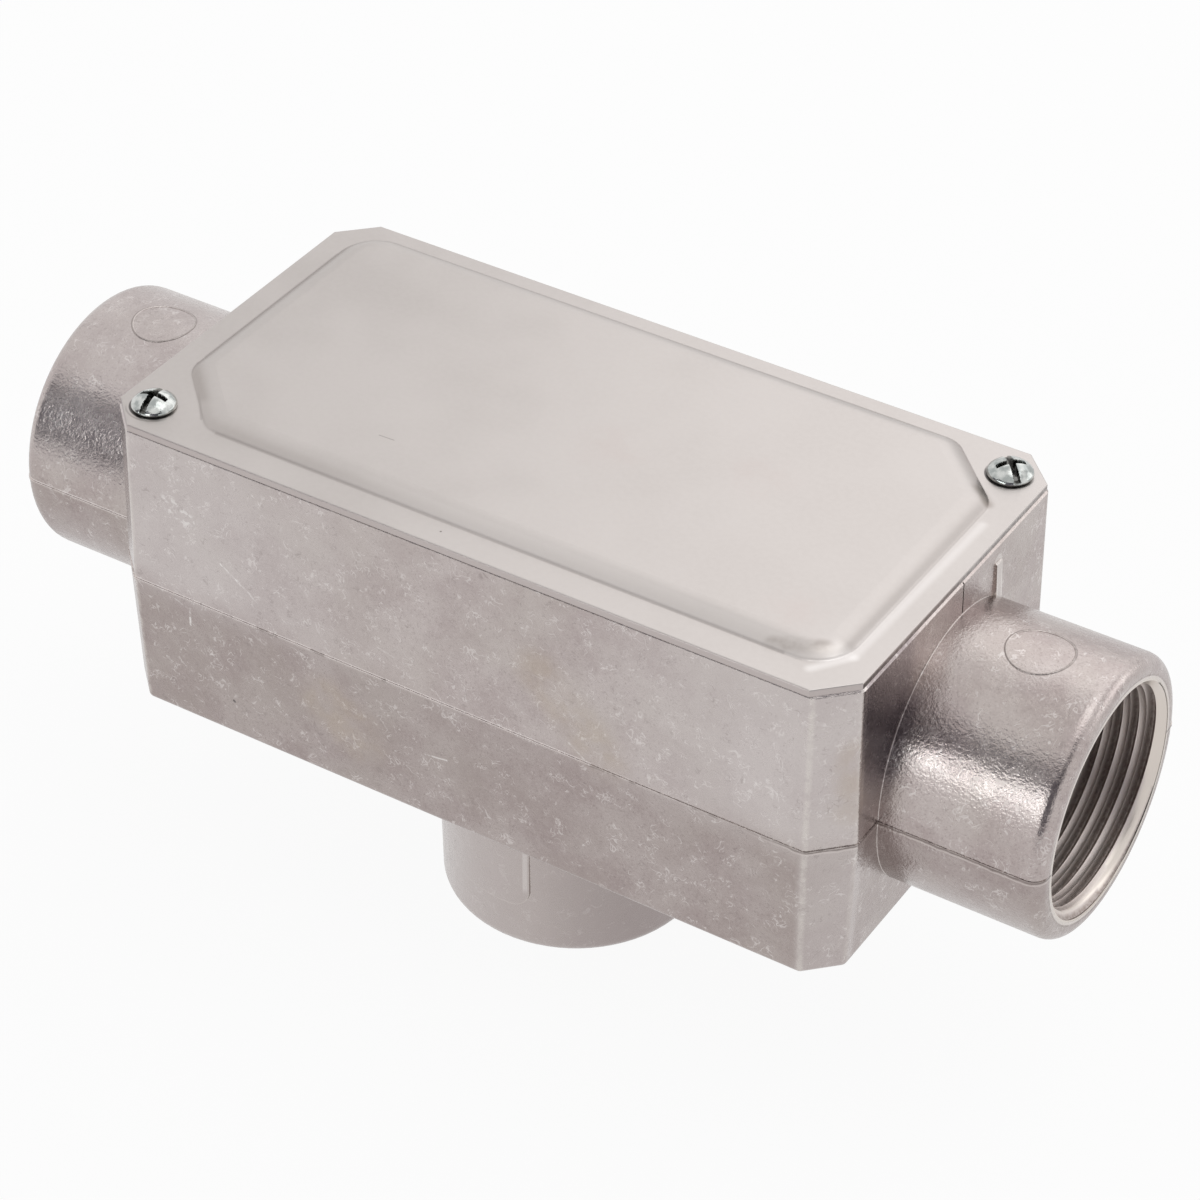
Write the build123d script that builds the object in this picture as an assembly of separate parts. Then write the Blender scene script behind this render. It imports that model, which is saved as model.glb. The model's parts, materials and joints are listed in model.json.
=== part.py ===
"""Conduit body: a die-cast tee fitting with a screwed cover and three threaded hubs.

One casting carries everything. Two hubs lie on one line, one at each short end, and the third
points straight down, opposite the cover, so wires can turn off at a right angle. A stamped cover
closes the wiring chamber and is held by two pan-head screws at opposite corners.

Frame: the origin is the centre of the back hub's mouth, on which the fitting stands. +Z points up
to the cover, +X runs along the two end hubs, and all sizes are in millimetres.
"""
from build123d import *
import math
import os

os.makedirs("parts", exist_ok=True)

# Pipe thread shared by the three hubs: G 1, eleven threads to the inch
thread_major_diameter = 33.25
thread_pitch = 2.309
thread_turns = 8

# Casting block, measured at the parting line, and its drafts
casting_length = 115.8
casting_width = 59.9
casting_above_axis = 24.8
casting_below_axis = 21.6
corner_cut = 4.85
upper_draft = 1.0
lower_draft = 2.0
casting_edge_radius = 1.0
rim_edge_break = 0.35
wall = 3.2

# Parting flash, a thin ridge left all round where the two die halves met
flash_thickness = 0.3
flash_height = 0.1

# Wiring chamber
chamber_draft = 1.0
chamber_corner_cut = 2.0
chamber_floor_chamfer = 1.2

# Hubs
hub_wall = 3.08
end_hub_length = 23.15
back_hub_length = 28.0
back_hub_draft = 1.2
hub_rim_radius = 2.2
throat_diameter = 27.0

# Plain pad on the front of the back hub, which rises towards its right edge
pad_radius = 18.0
pad_edge_angle = 13.0
pad_rise = 0.45
pad_drop = 19.8
pad_left_reach = 16.0
pad_corner = 3.0

# Small feeder rib and slide seam above the right-hand hub
rib_width = 1.5
rib_height = 0.6
rib_length = 6.0
rib_offset = 10.9
seam_width = 0.25
seam_depth = 0.2
seam_offset = 1.2

# Cover plate with its raised, pillow-shaped panel
cover_thickness = 1.0
cover_side_inset = 0.3
cover_end_inset = 0.65
cover_edge_radius = 0.25
panel_rise = 1.4
panel_slope_angle = 50.0
panel_shoulder_share = 0.8
panel_foot_share = 0.08
panel_end_margin = 3.9
panel_front_margin = 4.6
panel_back_margin = 2.7
panel_screw_corner_cut = 10.4
panel_plain_corner_radius = 6.1
panel_cut_end_radius = 4.5

# Cover screws, at two opposite corners
screw_diameter = 3.2
screw_length = 12.0
screw_tip_chamfer = 0.5
screw_head_diameter = 6.3
screw_head_height = 2.0
screw_head_rim = 0.6
screw_head_flat = 3.6
screw_end_inset = 5.8
screw_side_inset = 5.85
recess_span = 3.9
recess_width = 0.95
recess_depth = 1.5
recess_turns = {"front_left": 5.0, "back_right": 45.0}
boss_wall = 3.0
screw_thread_clearance = 0.05
cover_hole_clearance = 0.3
screw_hole_extra_depth = 1.5

# Derived sizes that several pieces share
thread_radius = thread_major_diameter / 2
thread_length = thread_pitch * thread_turns
hub_radius = thread_radius + hub_wall
throat_radius = throat_diameter / 2
axis_z = back_hub_length + casting_below_axis
casting_bottom = axis_z - casting_below_axis
casting_top = axis_z + casting_above_axis
chamber_floor = casting_bottom + wall
end_hub_face = casting_length / 2 + end_hub_length
upper_shrink = (casting_above_axis - flash_thickness / 2) * math.tan(math.radians(upper_draft))
rim_length = casting_length - 2 * upper_shrink
rim_width = casting_width - 2 * upper_shrink
cover_length = casting_length - 2 * cover_end_inset
cover_width = casting_width - 2 * cover_side_inset
cover_top = casting_top + cover_thickness
panel_slope_length = panel_rise / math.cos(math.radians(panel_slope_angle))
panel_slope_bend = math.tan(math.radians(90 - panel_slope_angle) / 2)
panel_top_radius = panel_shoulder_share * panel_slope_length / panel_slope_bend
panel_foot_radius = panel_foot_share * panel_slope_length / panel_slope_bend
screw_x = casting_length / 2 - screw_end_inset
screw_y = casting_width / 2 - screw_side_inset
screw_places = {"front_left": (-screw_x, -screw_y), "back_right": (screw_x, screw_y)}
screw_radius = screw_diameter / 2
boss_radius = screw_radius + boss_wall
screw_hole_depth = screw_length - cover_thickness + screw_hole_extra_depth


def cut_corner_plan(length, width, cut):
    """A rectangle with its four corners cut at 45 degrees."""
    outline = Rectangle(length, width)
    return chamfer(outline.vertices(), cut)


def casting_upper_half():
    """The die half on the cover's side: it narrows a little towards the cover."""
    plan = cut_corner_plan(casting_length, casting_width, corner_cut)
    plan = Pos(0, 0, axis_z + flash_thickness / 2) * plan
    block = extrude(plan, casting_above_axis - flash_thickness / 2, taper=upper_draft)
    upright = block.edges().filter_by(lambda edge: edge.bounding_box().size.Z > casting_above_axis / 2)
    block = fillet(upright, casting_edge_radius)
    rim = block.faces().sort_by(Axis.Z)[-1].edges()
    return chamfer(rim, rim_edge_break)


def casting_lower_half():
    """The die half on the back hub's side: it narrows towards the back, with rounded edges."""
    plan = cut_corner_plan(casting_length, casting_width, corner_cut)
    plan = Pos(0, 0, axis_z - flash_thickness / 2) * plan
    block = extrude(-plan.face(), casting_below_axis - flash_thickness / 2, taper=lower_draft)
    upright = block.edges().filter_by(lambda edge: edge.bounding_box().size.Z > casting_below_axis / 2)
    bottom = block.faces().sort_by(Axis.Z)[0].edges()
    return fillet(upright + bottom, casting_edge_radius)


def end_hub_blank():
    """The solid outside of the right-hand hub, turned about the run's axis, with a rounded rim."""
    start = casting_length / 2 - wall
    profile = Plane.XZ * Polyline(
        (start, 0), (end_hub_face, 0), (end_hub_face, hub_radius), (start, hub_radius), close=True
    )
    face = make_face(profile)
    rim_corner = face.vertices().sort_by_distance((end_hub_face, 0, hub_radius))[0]
    face = fillet(rim_corner, hub_rim_radius)
    return Pos(0, 0, axis_z) * revolve(face, Axis.X)


def back_hub_blank():
    """The solid outside of the back hub, with the die's draft and a rounded rim at its mouth."""
    mouth_radius = hub_radius - back_hub_length * math.tan(math.radians(back_hub_draft))
    root_radius = hub_radius + wall * math.tan(math.radians(back_hub_draft))
    top = casting_bottom + wall
    profile = Plane.XZ * Polyline((0, 0), (mouth_radius, 0), (root_radius, top), (0, top), close=True)
    face = make_face(profile)
    rim_corner = face.vertices().sort_by_distance((mouth_radius, 0, 0))[0]
    face = fillet(rim_corner, hub_rim_radius)
    return revolve(face, Axis.Z)


def back_hub_pad():
    """A smooth pad that stands proud at its right edge and runs out flush on its left."""
    angle = math.radians(pad_edge_angle)
    mean_radius = hub_radius - pad_drop * math.tan(math.radians(back_hub_draft))
    offset = mean_radius + pad_rise - pad_radius
    centre_x = offset * math.sin(angle)
    centre_y = -offset * math.cos(angle)
    bottom = casting_bottom - pad_drop
    column = Pos(centre_x, centre_y, bottom) * extrude(Circle(pad_radius), pad_drop)
    right = hub_radius * math.sin(angle)
    width = right + pad_left_reach
    window = Plane.XZ * Pos(right - width / 2, bottom + pad_drop) * Rectangle(width, 2 * pad_drop)
    low_corners = window.vertices().sort_by(Axis.Z)[:2]
    window = fillet(low_corners, pad_corner)
    return column & extrude(window.face(), hub_radius + pad_radius)


def parting_flash():
    """The thin ridge round the block and along both end hubs, at the height of the run's axis."""
    block = cut_corner_plan(casting_length + 2 * flash_height, casting_width + 2 * flash_height, corner_cut)
    block = fillet(block.vertices(), casting_edge_radius)
    half_width = hub_radius + flash_height
    hubs = Rectangle(2 * (end_hub_face + flash_height), 2 * half_width)
    hubs = fillet(hubs.vertices(), hub_rim_radius + flash_height)
    hubs = hubs & Rectangle(2 * end_hub_face, 4 * half_width)
    plan = block + hubs
    return Pos(0, 0, axis_z - flash_thickness / 2) * extrude(plan, flash_thickness)


def end_hub_bore():
    """The right-hand hub's inside: thread wall, flat shoulder and throat into the chamber."""
    shoulder = end_hub_face - thread_length
    inside = casting_length / 2 - 3 * wall
    profile = Plane.XZ * Polyline(
        (inside, 0),
        (end_hub_face + 1, 0),
        (end_hub_face + 1, thread_radius),
        (shoulder, thread_radius),
        (shoulder, throat_radius),
        (inside, throat_radius),
        close=True,
    )
    return Pos(0, 0, axis_z) * revolve(make_face(profile), Axis.X)


def back_hub_bore():
    """The back hub's inside: thread wall, flat shoulder and throat into the chamber."""
    top = chamber_floor + wall
    profile = Plane.XZ * Polyline(
        (0, -1),
        (thread_radius, -1),
        (thread_radius, thread_length),
        (throat_radius, thread_length),
        (throat_radius, top),
        (0, top),
        close=True,
    )
    return revolve(make_face(profile), Axis.Z)


def screw_boss_plan(x, y):
    """The plan of one screw boss: a block from the chamber's corner with one rounded corner."""
    reach = boss_radius + wall + corner_cut
    side_x = math.copysign(1, x)
    side_y = math.copysign(1, y)
    block = Pos(x - side_x * boss_radius, y - side_y * boss_radius) * Rectangle(
        reach, reach, align=(Align.MIN if side_x > 0 else Align.MAX, Align.MIN if side_y > 0 else Align.MAX)
    )
    inner_corner = block.vertices().sort_by_distance((0, 0, 0))[0]
    return fillet(inner_corner, boss_radius * 0.95)


def wiring_chamber():
    """The hollow that the wires are drawn and joined in, open towards the cover."""
    depth = casting_top - chamber_floor
    plan = cut_corner_plan(rim_length - 2 * wall, rim_width - 2 * wall, chamber_corner_cut)
    for x, y in screw_places.values():
        plan -= screw_boss_plan(x, y)
    hollow = extrude(-(Pos(0, 0, casting_top) * plan).face(), depth, taper=chamber_draft)
    floor = hollow.faces().sort_by(Axis.Z)[0].edges()
    hollow = chamfer(floor, chamber_floor_chamfer)
    mouth = Pos(0, 0, casting_top) * extrude(plan, wall)
    return hollow + mouth


def feeder_rib():
    """The small rib above the right-hand hub, where the casting was fed."""
    face_x = casting_length / 2 - upper_shrink
    foot_z = axis_z + math.sqrt(hub_radius**2 - rib_offset**2) - rib_height
    section = Plane.XZ * Polyline(
        (face_x - rib_height, foot_z),
        (face_x + rib_height, foot_z),
        (face_x + rib_height / 2, foot_z + rib_length),
        (face_x - rib_height, foot_z + rib_length + rib_height),
        close=True,
    )
    return Pos(0, rib_offset + rib_width / 2, 0) * extrude(make_face(section), rib_width)


def slide_seam():
    """The hairline on the right-hand end face, from the rim down to the hub."""
    low = axis_z + hub_radius
    high = casting_top + 1
    face_x = casting_length / 2
    reach = seam_depth + upper_shrink
    groove = Box(reach, seam_width, high - low, align=(Align.MAX, Align.CENTER, Align.MIN))
    return Pos(face_x, seam_offset, low) * groove


def body_casting():
    """The one-piece casting with its chamber, bores and screw holes."""
    hub = end_hub_blank()
    block = casting_upper_half() + casting_lower_half() + hub + mirror(hub, Plane.YZ) + back_hub_blank()
    block += parting_flash()
    block += back_hub_pad()
    block += feeder_rib()
    block -= slide_seam()
    block -= wiring_chamber()
    bore = end_hub_bore()
    block -= bore
    block -= mirror(bore, Plane.YZ)
    block -= back_hub_bore()
    hole = Circle(screw_radius + screw_thread_clearance)
    for x, y in screw_places.values():
        block -= Pos(x, y, casting_top - screw_hole_depth) * extrude(hole, screw_hole_depth + 1)
    return block


def panel_plan():
    """The raised panel's outline at its foot, cut back at the two screw corners."""
    left = -cover_length / 2 + panel_end_margin
    right = cover_length / 2 - panel_end_margin
    front = -cover_width / 2 + panel_front_margin
    back = cover_width / 2 - panel_back_margin
    cut = panel_screw_corner_cut
    outline = make_face(
        Polyline(
            (left + cut, front),
            (right, front),
            (right, back - cut),
            (right - cut, back),
            (left, back),
            (left, front + cut),
            close=True,
        )
    )
    plain = outline.vertices().filter_by(
        lambda v: (abs(v.X - right) < 0.01 and abs(v.Y - front) < 0.01)
        or (abs(v.X - left) < 0.01 and abs(v.Y - back) < 0.01)
    )
    outline = fillet(plain, panel_plain_corner_radius)
    cut_points = [(left + cut, front), (left, front + cut), (right, back - cut), (right - cut, back)]
    cut_ends = outline.vertices().filter_by(
        lambda v: min(math.hypot(v.X - x, v.Y - y) for x, y in cut_points) < 0.01
    )
    return fillet(cut_ends, panel_cut_end_radius)


def raised_panel(foot_z):
    """The panel's form with its sloped sides, standing on foot_z."""
    plan = Pos(0, 0, foot_z) * panel_plan()
    return extrude(plan, panel_rise, taper=panel_slope_angle)


def cover_plate():
    """The stamped cover: a flat flange and a raised panel of one sheet thickness."""
    plan = Pos(0, 0, casting_top) * cut_corner_plan(cover_length, cover_width, corner_cut)
    flange = extrude(plan, cover_thickness)
    top_edges = flange.faces().sort_by(Axis.Z)[-1].edges()
    flange = fillet(top_edges, cover_edge_radius)
    panel = raised_panel(cover_top)
    shoulder = panel.faces().sort_by(Axis.Z)[-1].edges()
    plate = flange + fillet(shoulder, panel_top_radius)
    foot = [
        edge
        for edge in plate.edges()
        if edge.bounding_box().size.Z < 0.01
        and abs(edge.center().Z - cover_top) < 0.01
        and abs(edge.center().X) < cover_length / 2 - panel_end_margin + 0.01
        and edge.center().Y > -cover_width / 2 + panel_front_margin - 0.01
        and edge.center().Y < cover_width / 2 - panel_back_margin + 0.01
    ]
    plate = fillet(foot, panel_foot_radius)
    plate -= raised_panel(casting_top)
    hole = Circle(screw_radius + cover_hole_clearance)
    for x, y in screw_places.values():
        plate -= Pos(x, y, casting_top - 1) * extrude(hole, cover_thickness + 2)
    return plate


def cover_screw(x, y, turn):
    """A machine screw with a sloped head and a cross recess, turned by hand to its stop."""
    head_radius = screw_head_diameter / 2
    profile = Plane.XZ * Polyline(
        (0, -screw_length),
        (screw_radius - screw_tip_chamfer, -screw_length),
        (screw_radius, screw_tip_chamfer - screw_length),
        (screw_radius, 0),
        (head_radius, 0),
        (head_radius, screw_head_rim),
        (screw_head_flat / 2, screw_head_height),
        (0, screw_head_height),
        close=True,
    )
    screw = revolve(make_face(profile), Axis.Z)
    arm = Box(recess_span, recess_width, recess_depth, align=(Align.CENTER, Align.CENTER, Align.MIN))
    cross = arm + Rot(0, 0, 90) * arm
    screw -= Pos(0, 0, screw_head_height - recess_depth) * cross
    return Pos(x, y, cover_top) * Rot(0, 0, turn) * screw


def write_parts():
    """Write one file for each piece, named after it."""
    pieces = {"body_casting": body_casting(), "cover_plate": cover_plate()}
    for corner, (x, y) in screw_places.items():
        pieces["cover_screw_" + corner] = cover_screw(x, y, recess_turns[corner])
    for name, piece in pieces.items():
        export_step(piece, f"parts/{name}.step")


write_parts()
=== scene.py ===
"""Looks of the conduit body: its cast, sheet and zinc finishes, its threads, screws and small marks.

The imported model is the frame. Everything is in metres in that frame: +Z points up to the cover, +X
runs along the two end hubs, and the origin is the centre of the back hub's mouth.
"""

import json
import math

import bmesh
import bpy
from mathutils import Matrix, Vector


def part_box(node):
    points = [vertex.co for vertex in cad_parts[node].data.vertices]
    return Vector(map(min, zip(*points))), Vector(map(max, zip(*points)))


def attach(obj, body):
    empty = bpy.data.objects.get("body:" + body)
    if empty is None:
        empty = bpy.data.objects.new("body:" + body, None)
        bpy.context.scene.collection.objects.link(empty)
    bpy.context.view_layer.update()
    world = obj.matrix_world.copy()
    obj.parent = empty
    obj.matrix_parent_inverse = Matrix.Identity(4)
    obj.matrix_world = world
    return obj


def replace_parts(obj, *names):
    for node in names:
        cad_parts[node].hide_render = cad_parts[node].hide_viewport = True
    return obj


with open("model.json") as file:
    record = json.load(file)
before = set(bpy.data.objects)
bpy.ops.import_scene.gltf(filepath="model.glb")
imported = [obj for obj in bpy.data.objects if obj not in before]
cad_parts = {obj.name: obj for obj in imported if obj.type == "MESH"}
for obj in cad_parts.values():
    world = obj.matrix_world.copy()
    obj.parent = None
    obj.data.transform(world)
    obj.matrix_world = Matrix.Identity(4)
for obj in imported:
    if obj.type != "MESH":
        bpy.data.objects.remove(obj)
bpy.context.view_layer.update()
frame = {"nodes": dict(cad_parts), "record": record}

MM = 0.001

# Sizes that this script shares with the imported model, read from its box and its record
body_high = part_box("body_casting")[1]
end_hub_face = body_high.x
casting_top = body_high.z
mounts = {mount["name"]: mount for mount in frame["record"]["mounts"]}
axis_z = mounts["right_hub"]["pos_m"][2]

# Sizes of the cover and the casting that a box doesn't give
cover_thickness = 1.0 * MM
cover_top = casting_top + cover_thickness
hub_radius = 19.705 * MM
casting_half_length = 57.9 * MM
casting_half_width = 29.95 * MM
corner_cut = 4.85 * MM
corner_lean_share = 0.41
casting_bottom = 28.0 * MM
upper_draft = math.radians(1.0)
lower_draft = math.radians(2.0)

# Pipe thread in the three mouths
thread_pitch = 2.309 * MM
thread_root_radius = 16.52 * MM
thread_crest_radius = 15.5 * MM
thread_burr = 0.05 * MM
thread_tilt = 0.12 * MM
thread_entry_radius = 16.43 * MM
thread_entry_slope = 0.81
thread_steps_round = 192
thread_mouth_gap = 0.03 * MM
thread_bore_gap = 0.01 * MM

# Ejector mark on top of each end hub
ring_place = 69.4 * MM
ring_radius = 4.45 * MM
ring_width = 0.28 * MM
ring_height = 0.08 * MM

# Feeder rib above the right-hand hub
rib_place = 10.9 * MM
rib_length = 5.6 * MM
rib_half_width = 0.75 * MM
rib_out = 58.1 * MM

# Right edge of the pad on the back hub
pad_edge = 3.85 * MM

# Fillet where a hub grows out of the block
root_fillet = 0.13 * MM

# Cover screws, with the turn of each one's cross in degrees
screw_head_radius = 3.15 * MM
screw_dome = 2.0 * MM
screw_rim = 0.5 * MM
screw_shank_radius = 1.6 * MM
screw_length = 12.0 * MM
screw_cross_turns = {"cover_screw_front_left": 5.0, "cover_screw_back_right": 45.0}
cross_half_span = 1.95 * MM
cross_half_width = 0.46 * MM
cross_depth = 1.3 * MM
slot_half_width = 0.4 * MM
slot_depth = 0.75 * MM
shade_ring_radius = 3.8 * MM


class Shader:
    """A small helper that builds one procedural material, node by node."""

    def __init__(self, name):
        self.material = bpy.data.materials.new(name)
        self.material.use_nodes = True
        self.tree = self.material.node_tree
        self.tree.nodes.clear()
        self.output = self.tree.nodes.new("ShaderNodeOutputMaterial")
        self.surface = self.tree.nodes.new("ShaderNodeBsdfPrincipled")
        self.tree.links.new(self.surface.outputs[0], self.output.inputs[0])
        self.place = self.tree.nodes.new("ShaderNodeTexCoord").outputs["Object"]

    def feed(self, socket, value):
        """Link a node's output to a socket, or write a plain value on it."""
        if isinstance(value, bpy.types.NodeSocket):
            self.tree.links.new(value, socket)
        else:
            socket.default_value = value

    def math(self, kind, first, second=0.0, clamp=False):
        """One sum on numbers or masks."""
        node = self.tree.nodes.new("ShaderNodeMath")
        node.operation = kind
        node.use_clamp = clamp
        for socket, value in zip(node.inputs, (first, second)):
            self.feed(socket, value)
        return node.outputs[0]

    def times(self, first, *others):
        """The product of several masks or numbers."""
        for other in others:
            first = self.math("MULTIPLY", first, other)
        return first

    def most(self, first, *others):
        """The greatest of several masks."""
        for other in others:
            first = self.math("MAXIMUM", first, other)
        return first

    def rest(self, mask, share=1.0):
        """What a share of a mask leaves over of 1."""
        return self.math("SUBTRACT", 1.0, self.math("MULTIPLY", mask, share))

    def apart(self, value, middle):
        """How far a value is from a middle one, on either side."""
        return self.math("ABSOLUTE", self.math("SUBTRACT", value, middle))

    def radius(self, x, y):
        """The distance from an axis, from the two coordinates across it."""
        squares = self.math("ADD", self.math("MULTIPLY", x, x), self.math("MULTIPLY", y, y))
        return self.math("SQRT", squares)

    def vector(self, kind, first, second=(0.0, 0.0, 0.0), output=0):
        """One sum on vectors. Output 0 is its vector and output 1 its number."""
        node = self.tree.nodes.new("ShaderNodeVectorMath")
        node.operation = kind
        self.feed(node.inputs[0], first)
        self.feed(node.inputs[1], second)
        return node.outputs[output]

    def layer(self, name):
        """A number that a piece's mesh carries at each point."""
        node = self.tree.nodes.new("ShaderNodeAttribute")
        node.attribute_name = name
        return node.outputs["Fac"]

    def split(self, vector):
        """The three parts of a vector: along X, across in Y and height in Z."""
        node = self.tree.nodes.new("ShaderNodeSeparateXYZ")
        self.feed(node.inputs[0], vector)
        return node.outputs

    def noise(self, size, detail=2.0, roughness=0.5, distortion=0.0, place=None):
        """Noise whose features are about `size` metres across."""
        node = self.tree.nodes.new("ShaderNodeTexNoise")
        node.inputs["Scale"].default_value = 1.0 / size
        node.inputs["Detail"].default_value = detail
        node.inputs["Roughness"].default_value = roughness
        node.inputs["Distortion"].default_value = distortion
        self.feed(node.inputs["Vector"], place if place is not None else self.place)
        return node.outputs["Fac"]

    def ramp(self, value, low, high, start=0.0, end=1.0):
        """Map low..high to start..end with soft ends."""
        node = self.tree.nodes.new("ShaderNodeMapRange")
        node.interpolation_type = "SMOOTHSTEP"
        for socket, number in zip(node.inputs, (value, low, high, start, end)):
            self.feed(socket, number)
        return node.outputs[0]

    def mix(self, amount, first, second):
        """A colour between two, by an amount from 0 to 1."""
        node = self.tree.nodes.new("ShaderNodeMix")
        node.data_type = "RGBA"
        self.feed(node.inputs["Factor"], amount)
        self.feed(node.inputs[6], first)
        self.feed(node.inputs[7], second)
        return node.outputs[2]

    def tint(self, colour, mask, share, tone):
        """Bring a colour towards a tone under a mask, by a share at most."""
        return self.mix(self.math("MULTIPLY", mask, share), colour, tone)

    def metal(self, colour, roughness, normal):
        """Finish the material as bare metal."""
        self.feed(self.surface.inputs["Base Color"], colour)
        self.surface.inputs["Metallic"].default_value = 1.0
        self.feed(self.surface.inputs["Roughness"], roughness)
        self.feed(self.surface.inputs["Normal"], normal)
        return self.material

    def bump(self, height, distance, normal=None):
        """A normal bent by a height map of a given depth, over another bump where one is given."""
        node = self.tree.nodes.new("ShaderNodeBump")
        node.inputs["Distance"].default_value = distance
        self.feed(node.inputs["Height"], height)
        if normal is not None:
            self.feed(node.inputs["Normal"], normal)
        return node.outputs[0]

    def spot(self, centre, reach, soft):
        """1 within `reach` of a point, falling to 0 over `soft`."""
        away = self.vector("DISTANCE", self.place, centre, output=1)
        return self.ramp(away, reach, reach + soft, 1.0, 0.0)

    def stroke(self, start, end, half_width, soft, place=None):
        """1 along the line between two points, falling to 0 at its sides."""
        run = Vector(end) - Vector(start)
        offset = self.vector("SUBTRACT", place if place is not None else self.place, start)
        share = self.vector("DOT_PRODUCT", offset, tuple(run), output=1)
        share = self.math("DIVIDE", share, run.length_squared)
        share = self.math("MULTIPLY", share, 1.0, clamp=True)
        scaled = self.tree.nodes.new("ShaderNodeVectorMath")
        scaled.operation = "SCALE"
        scaled.inputs[0].default_value = tuple(run)
        self.feed(scaled.inputs["Scale"], share)
        away = self.vector("DISTANCE", offset, scaled.outputs[0], output=1)
        return self.ramp(away, half_width, half_width + soft, 1.0, 0.0)


def grey(red, green, blue):
    """A colour with full alpha."""
    return (red, green, blue, 1.0)


def edge_wear(shader, radius):
    """How strongly a point lies near a sharp edge."""
    flat_likeness, edge_likeness = 0.98, 0.80
    bevel = shader.tree.nodes.new("ShaderNodeBevel")
    bevel.samples = 4
    bevel.inputs["Radius"].default_value = radius
    geometry = shader.tree.nodes.new("ShaderNodeNewGeometry")
    likeness = shader.vector("DOT_PRODUCT", bevel.outputs[0], geometry.outputs["Normal"], output=1)
    return shader.ramp(likeness, flat_likeness, edge_likeness)


def upright_edges(shader):
    """1 along the block's eight rounded upright edges, which lean with the draft."""
    mirrored = shader.vector("ABSOLUTE", shader.place)
    out, far = casting_half_width, casting_half_length
    high = casting_top - axis_z
    low = axis_z - casting_bottom
    half_width, soft = 0.1 * MM, 0.6 * MM
    lines = []
    for x, y in ((far - corner_cut, out), (far, out - corner_cut)):
        for z, rise, draft in ((casting_top, high, upper_draft), (casting_bottom, low, lower_draft)):
            inward = rise * math.tan(draft)
            if y == out:
                end = (x - inward * corner_lean_share, y - inward, z)
            else:
                end = (x - inward, y - inward * corner_lean_share, z)
            lines.append(shader.stroke((x, y, axis_z), end, half_width, soft, mirrored))
    return shader.most(*lines)


def ring_line(shader, centre_x):
    """1 along an ejector ring's outline on top of a hub."""
    x, y, z = shader.split(shader.vector("SUBTRACT", shader.place, (centre_x, 0.0, 0.0)))
    off_ring = shader.apart(shader.radius(x, y), ring_radius + 0.1 * MM)
    on_top = shader.ramp(z, axis_z + hub_radius * 0.9, axis_z + hub_radius * 0.95)
    return shader.times(shader.ramp(off_ring, 0.08 * MM, 0.2 * MM, 1.0, 0.0), on_top)


def mouth_distance(shader):
    """How far outside a thread's radius a point lies on a mouth's rim. Off the rims, a metre more."""
    rim_starts, rim_full = 0.45 * MM, 0.3 * MM
    x, y, z = shader.split(shader.vector("ABSOLUTE", shader.place))
    at_end = shader.ramp(x, end_hub_face - rim_starts, end_hub_face - rim_full)
    at_foot = shader.ramp(z, rim_starts, rim_full)
    lying = shader.radius(y, shader.math("SUBTRACT", z, axis_z))
    lying = shader.math("ADD", lying, shader.rest(at_end))
    upright = shader.math("ADD", shader.radius(x, y), shader.rest(at_foot))
    nearest = shader.math("MINIMUM", lying, upright)
    return shader.math("SUBTRACT", nearest, mounts["right_hub"]["dims"]["r_mm"] * MM)


def cast_mottle(s, middle):
    """Warm grey mottling at four sizes, and painted shade that makes it a little darker below the
    parting line.
    """
    large = s.noise(9 * MM, detail=3.0, roughness=0.55)
    fine = s.noise(0.34 * MM, detail=2.0, roughness=0.7)
    colour = s.mix(s.ramp(large, 0.35, 0.65), grey(0.395, 0.334, 0.324), grey(0.485, 0.430, 0.414))
    colour = s.mix(s.ramp(middle, 0.4, 0.75, 0.0, 0.4), colour, grey(0.55, 0.485, 0.468))
    colour = s.mix(s.ramp(middle, 0.45, 0.25, 0.0, 0.3), colour, grey(0.30, 0.245, 0.235))
    colour = s.mix(s.ramp(fine, 0.46, 0.28, 0.0, 0.5), colour, grey(0.25, 0.205, 0.20))
    colour = s.mix(s.ramp(fine, 0.56, 0.76, 0.0, 0.34), colour, grey(0.66, 0.61, 0.59))
    elsewhere = s.vector("ADD", s.place, (0.5, 0.2, 0.7))
    warm = s.ramp(s.noise(14 * MM, detail=2.0, place=elsewhere), 0.4, 0.65)
    colour = s.tint(colour, warm, 0.3, grey(0.45, 0.405, 0.37))
    height = s.split(s.place)[2]
    # Painted shade: the casting is a little darker below the parting line.
    below = s.ramp(height, axis_z - 0.5 * MM, axis_z + 0.5 * MM, 1.0, 0.0)
    return s.tint(colour, below, 0.26, grey(0.22, 0.175, 0.165))


def upper_half_painted_light(s, colour):
    """Painted light: the front's upper half is paler, most so at its ends, and so are the cut corner and
    left hub.
    """
    along, across, height = s.split(s.place)
    ends = s.most(s.ramp(along, -5 * MM, -45 * MM), s.ramp(along, 15 * MM, 50 * MM))
    upper = s.ramp(height, axis_z - 4 * MM, axis_z + 4 * MM)
    paler = s.times(upper, s.math("ADD", s.times(ends, 0.75), 0.25))
    cut_corner = s.ramp(along, 51.5 * MM, 53.0 * MM, 0.0, 0.7)
    paler = s.times(s.most(paler, cut_corner), s.ramp(across, -22.5 * MM, -24.0 * MM))
    left_hub = s.times(s.ramp(along, -57.5 * MM, -58.0 * MM), s.ramp(height, axis_z, axis_z + 8 * MM))
    paler = s.most(paler, s.times(left_hub, 0.5))
    # Painted light on the front's upper half, the cut corner and the left hub.
    return s.tint(colour, paler, 0.55, grey(0.61, 0.565, 0.555))


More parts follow.
